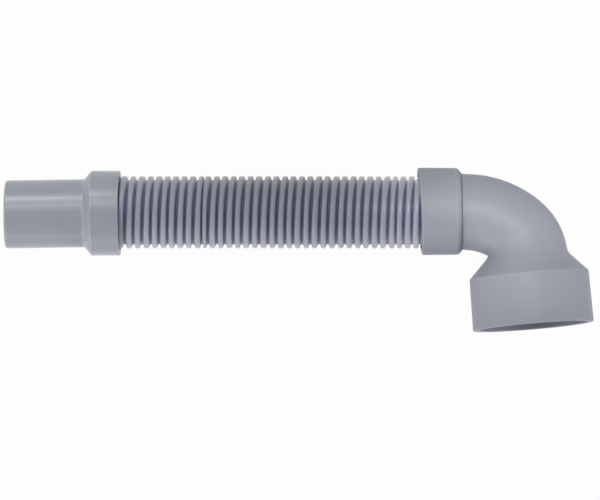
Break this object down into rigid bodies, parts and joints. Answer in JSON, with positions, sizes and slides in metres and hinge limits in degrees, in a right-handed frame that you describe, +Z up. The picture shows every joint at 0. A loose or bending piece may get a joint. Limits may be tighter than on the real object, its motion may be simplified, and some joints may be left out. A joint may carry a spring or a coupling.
{
  "type": "flexible drain hose",
  "caption": "Short flexible waste hose with a helical rib, a plain push-in spigot at one end and an elbow that widens into a pipe socket at the other.",
  "frame": {"origin": "on the floor under the centre of the object's box, as it lies at rest", "axes": "+X along the hose from the spigot to the elbow, -Y the way the elbow's socket opens (raised 13 degrees), +Z up from the floor"},
  "size_m": [0.2774, 0.0796, 0.0608],
  "materials": {
    "spigot_plastic": "satin moulded plastic, cool mid grey",
    "hose_plastic": "soft extruded plastic, cool mid grey with a faint sheen on the ribs",
    "elbow_plastic": "satin moulded plastic, cool mid grey"
  },
  "bodies": {
    "root": {"spigot_cuff": "spigot_plastic", "corrugated_hose": "hose_plastic", "elbow_socket": "elbow_plastic"}
  },
  "joints": []
}
